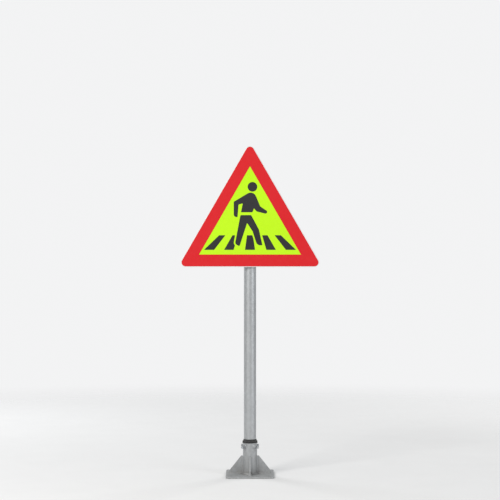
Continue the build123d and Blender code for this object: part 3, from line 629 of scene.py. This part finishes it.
# ----------------------------------------------------------------------------- welds
beads = bmesh.new()
STEP = 0.42
foot = []
count = int(TAU * SLEEVE_R / STEP)
for k in range(count):
    a = TAU * k / count
    way = Vector((math.cos(a), math.sin(a), 0))
    foot.append((way * SLEEVE_R + Vector((0, 0, PLATE_TOP)), Vector((0, 0, 1)), way))
weld_bead(beads, foot, 5.0, closed=True, seed=1.0)
for quarter in range(4):
    turn = Matrix.Rotation(quarter * math.pi / 2, 3, "Z")
    for side in (-1, 1):
        n = int(75.5 / STEP)
        run = [
            (turn @ Vector((56.4 + 75.5 * k / n, 4.0 * side, PLATE_TOP)), Vector((0, 0, 1)), turn @ Vector((0, side, 0)))
            for k in range(n + 1)
        ]
        weld_bead(beads, run, 5.0, seed=10 + quarter * 2 + side)
        lean = math.asin(4.0 / SLEEVE_R)
        around = turn @ Vector((-math.sin(lean), side * math.cos(lean), 0))
        n = int(95.5 / STEP)
        rise = [
            (turn @ Vector((SLEEVE_R * math.cos(lean), 4.0 * side, PLATE_TOP + 12 + 95.5 * k / n)), turn @ Vector((1, 0, 0)), around)
            for k in range(n + 1)
        ]
        weld_bead(beads, rise, 5.0, seed=30 + quarter * 2 + side)
for way in lock_ways:
    tangent = Vector((0, 0, 1)).cross(way)
    loop = []
    count = int(TAU * 10.3 / STEP)
    for k in range(count):
        a = TAU * k / count
        reach = min(9.5 / math.cos(a % (TAU / 6) - TAU / 12), 10.75)
        t, h = reach * math.cos(a), reach * math.sin(a)
        depth = math.sqrt(SLEEVE_R**2 - t * t)
        normal = (way * depth + tangent * t) / SLEEVE_R
        outward = tangent * math.cos(a) + Vector((0, 0, math.sin(a)))
        outward = (outward - normal * outward.dot(normal)).normalized()
        loop.append((way * depth + tangent * t + Vector((0, 0, lock_z + h)), way, outward))
    weld_bead(beads, loop, 2.8, closed=True, seed=50.0, pitch=1.5, columns=6)
finished(beads, "fillet_weld_beads", WELD, "base", "weld_bead", "base_welds", crease=60.0)

# ----------------------------------------------------------------------------- post cap
cap = bmesh.new()
post_top = box_mm("post_tube")[1].z
here = basis((0, 0, 0), (0, 0, 1), (1, 0, 0))
circle = even(180)
ribbed = [40.02 if k % 5 in (0, 1) else 40.4 for k in range(180)]


def on_dome(r, proud=0.0):
    return post_top + 12 - 112.56 + math.sqrt(112.56**2 - r * r) + proud


profile = [
    (38.1, post_top - 24.7), (38.35, post_top - 25), (40.0, post_top - 25), (40.3, post_top - 24.75), (40.4, post_top - 24.3),
    (40.4, post_top - 21.2), (40.28, post_top - 20.9), (ribbed, post_top - 20.2), (ribbed, post_top + 0.6),
    (40.28, post_top + 1.3), (40.4, post_top + 1.7), (40.37, post_top + 2.3), (40.15, post_top + 3.1),
    (39.7, post_top + 3.9), (38.9, post_top + 4.7), (37.7, on_dome(37.7)),
    (28.6, on_dome(28.6)), (28.2, on_dome(28.2, -0.35)), (26.9, on_dome(26.9, -0.35)), (26.5, on_dome(26.5)),
    (18, on_dome(18)), (9, on_dome(9)), (3.1, on_dome(3.1)), (2.7, on_dome(2.7, -0.5)), (1.2, on_dome(1.2, -0.55)),
]
under = [(31.7, post_top), (31.7, post_top - 17.6), (32.1, post_top - 18), (34.1, post_top - 18), (34.55, post_top - 17.2),
         (34.55, post_top), (38.1, post_top)]
rings = [pole(cap, here, post_top)] + [ring(cap, here, r, h, circle) for r, h in under + profile]
skin(cap, rings + [pole(cap, here, on_dome(0, -0.6))])
finished(cap, "moulded_post_cap", CAP, "post", "cap_plastic", "post_cap", crease=40.0)

# ----------------------------------------------------------------------------- floor, light, air
bpy.ops.mesh.primitive_circle_add(vertices=160, radius=30.0, fill_type="NGON", location=(0, 0, -0.0005))
floor = bpy.context.object
floor.name = "studio_floor"
g = Graph("studio_floor")
x, y, z = g.split()
reach = g.math("SQRT", g.math("ADD", g.math("MULTIPLY", x, x), g.math("MULTIPLY", y, y)))
tone = g.span(g.noise(3.0, 5.0, 0.6), 0.3, 0.7, 0.835, 0.855)
plain = g.node("ShaderNodeBsdfPrincipled")
g.feed(plain.inputs["Base Color"], g.join(tone, tone, tone))
plain.inputs["Roughness"].default_value = 0.75
plain.inputs["Specular IOR Level"].default_value = 0.2
clear = g.node("ShaderNodeBsdfTransparent")
blend = g.node("ShaderNodeMixShader")
g.feed(blend.inputs[0], g.span(reach, 2.2, 6.5, 0.0, 1.0, smooth=True))
g.tree.links.new(plain.outputs[0], blend.inputs[1])
g.tree.links.new(clear.outputs[0], blend.inputs[2])
out = g.node("ShaderNodeOutputMaterial")
g.tree.links.new(blend.outputs[0], out.inputs["Surface"])
floor.data.materials.append(g.material)

world = bpy.data.worlds.new("studio")
scene.world = world
world.use_nodes = True
wt = world.node_tree
wt.nodes.clear()
seen = wt.nodes.new("ShaderNodeBackground")
seen.inputs[0].default_value = (0.895, 0.898, 0.903, 1)
seen.inputs[1].default_value = 1.0
lit = wt.nodes.new("ShaderNodeBackground")
lit.inputs[0].default_value = (0.97, 0.985, 1.0, 1)
lit.inputs[1].default_value = 0.40
path = wt.nodes.new("ShaderNodeLightPath")
pick = wt.nodes.new("ShaderNodeMixShader")
wout = wt.nodes.new("ShaderNodeOutputWorld")
wt.links.new(path.outputs["Is Camera Ray"], pick.inputs[0])
wt.links.new(lit.outputs[0], pick.inputs[1])
wt.links.new(seen.outputs[0], pick.inputs[2])
wt.links.new(pick.outputs[0], wout.inputs[0])


def softbox(name, place, aim, size, power, tint=(1, 1, 1)):
    data = bpy.data.lights.new(name, "AREA")
    data.shape = "RECTANGLE"
    data.size, data.size_y = size
    data.energy = power
    data.color = tint
    lamp = bpy.data.objects.new(name, data)
    scene.collection.objects.link(lamp)
    lamp.location = place
    lamp.rotation_euler = (Vector(aim) - Vector(place)).to_track_quat("-Z", "Y").to_euler()
    return lamp


softbox("key", (-3.4, -4.6, 4.4), (0, 0, 1.2), (2.6, 2.6), 246, (1.0, 0.985, 0.96))
softbox("fill", (4.6, -3.6, 2.2), (0, 0, 1.1), (2.4, 3.0), 80, (0.96, 0.98, 1.0))
softbox("back_left", (-3.6, 3.8, 3.2), (0, 0, 1.1), (2.0, 2.6), 104, (0.98, 0.99, 1.0))
softbox("back_right", (3.4, 4.2, 3.6), (0, 0, 1.2), (2.0, 2.6), 94, (1.0, 0.99, 0.97))
